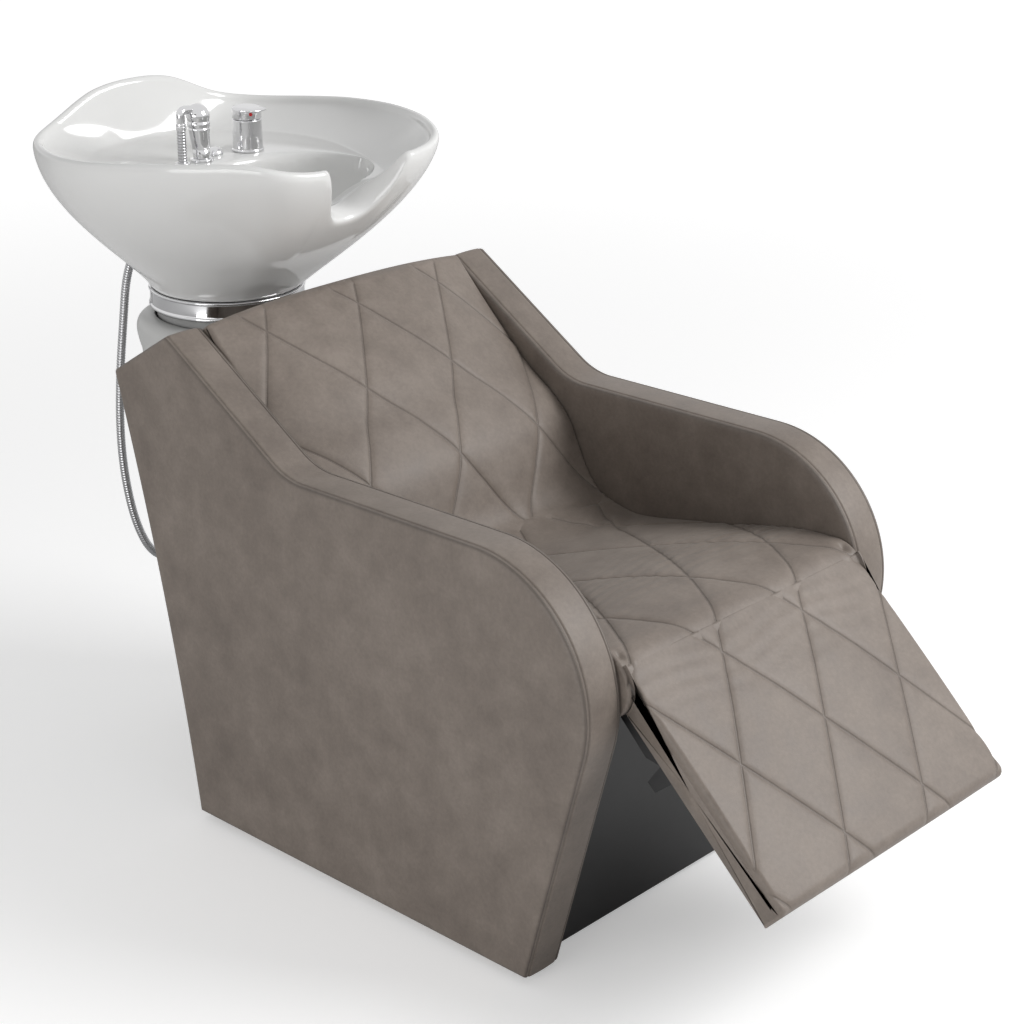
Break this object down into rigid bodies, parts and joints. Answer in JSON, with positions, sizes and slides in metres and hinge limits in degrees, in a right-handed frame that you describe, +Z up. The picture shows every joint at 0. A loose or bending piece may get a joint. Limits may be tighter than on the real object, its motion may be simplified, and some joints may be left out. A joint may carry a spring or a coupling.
{
  "type": "hair washing bed",
  "caption": "Salon hair washing bed: reclined quilted chair with a lifting legrest, column with a tilting ceramic basin, mixer and hand shower.",
  "frame": {"origin": "centre of the bounding box at floor level", "axes": "+Z up, -Y towards the legrest's toe end, +X to the left of the person lying in the chair"},
  "size_m": [0.7, 1.6384, 1.0975],
  "materials": {
    "upholstery": "mottled taupe, satin",
    "board": "raw plywood",
    "black_sheet": "satin black",
    "black_steel": "black powder coat",
    "steel": "bright zinc",
    "black_plastic": "moulded",
    "shell": "satin light grey",
    "collar": "satin grey",
    "ceramic": "gloss white glaze",
    "chrome": "polished",
    "waste_plastic": "moulded"
  },
  "bodies": {
    "base": {"arm_core_left": "board", "arm_core_right": "board", "arm_band_left": "upholstery", "arm_band_right": "upholstery", "arm_outer_left": "upholstery", "arm_outer_right": "upholstery", "arm_inner_left": "upholstery", "arm_inner_right": "upholstery", "seat_cushion": "upholstery", "seat_board": "board", "seat_bearer_left": "black_steel", "seat_bearer_right": "black_steel", "back_cushion": "upholstery", "back_board": "board", "front_panel": "black_sheet", "rear_panel": "upholstery", "hinge_bracket_left": "black_steel", "hinge_bracket_right": "black_steel", "hinge_pins": "steel", "actuator_housing": "black_plastic", "actuator_foot_bracket": "black_steel", "actuator_foot_pin": "steel", "actuator_post": "black_steel", "underframe_crosses": "black_steel", "underframe_rails": "black_steel", "glides": "black_plastic", "column_post": "black_steel", "column_cover": "shell", "tilt_head": "black_steel", "tilt_pins": "steel", "waste_stack": "waste_plastic"},
    "legrest": {"legrest_cushion": "upholstery", "legrest_board": "board", "legrest_under_cover": "black_sheet", "legrest_arm_left": "black_steel", "legrest_arm_right": "black_steel", "legrest_crossbar": "black_steel", "lift_bracket": "black_steel"},
    "lift_rod": {"actuator_rod": "steel", "actuator_cross_pin": "steel"},
    "basin_unit": {"basin": "ceramic", "basin_cradle": "black_steel", "neck_collar": "collar", "basin_ring": "chrome", "drain_strainer": "chrome", "waste_trap": "waste_plastic", "mixer_body": "chrome", "mixer_nut": "waste_plastic", "shelf_cap": "chrome", "shower_socket": "chrome", "hose_grommet": "black_plastic", "hose_loop": "chrome", "hose_tail_nut": "chrome"},
    "mixer_turn": {"mixer_core": "chrome"},
    "mixer_handle": {"mixer_lever": "chrome"},
    "shower": {"hand_shower": "chrome", "shower_elbow": "chrome", "hose_nut": "chrome", "hose_upper": "chrome"}
  },
  "joints": [
    {"name": "legrest_lift", "type": "hinge", "parent": "base", "child": "legrest", "pos_m": [0, -0.501, 0.482], "axis": [-1, 0, 0], "range_deg": [-37, 43]},
    {"name": "lift_rod_slide", "type": "slide", "parent": "base", "child": "lift_rod", "axis": [0, -0.866, 0.5], "range_m": [-0.06956, 0.08084]},
    {"name": "basin_tilt", "type": "hinge", "parent": "base", "child": "basin_unit", "pos_m": [0, 0.582, 0.72], "axis": [1, 0, 0], "range_deg": [0, 8]},
    {"name": "mixer_swivel", "type": "hinge", "parent": "basin_unit", "child": "mixer_turn", "pos_m": [0.069, 0.594, 1.045], "axis": [0, 0, 1], "range_deg": [-45, 45]},
    {"name": "mixer_lift", "type": "hinge", "parent": "mixer_turn", "child": "mixer_handle", "pos_m": [0.069, 0.617, 1.0455], "axis": [-1, 0, 0], "range_deg": [0, 15]},
    {"name": "shower_lift_out", "type": "slide", "parent": "basin_unit", "child": "shower", "axis": [0, 0, 1], "range_m": [0, 0.058]}
  ],
  "couplings": [
    {"joint": "lift_rod_slide", "follows": "legrest_lift", "m_per_rad": 0.10772}
  ]
}
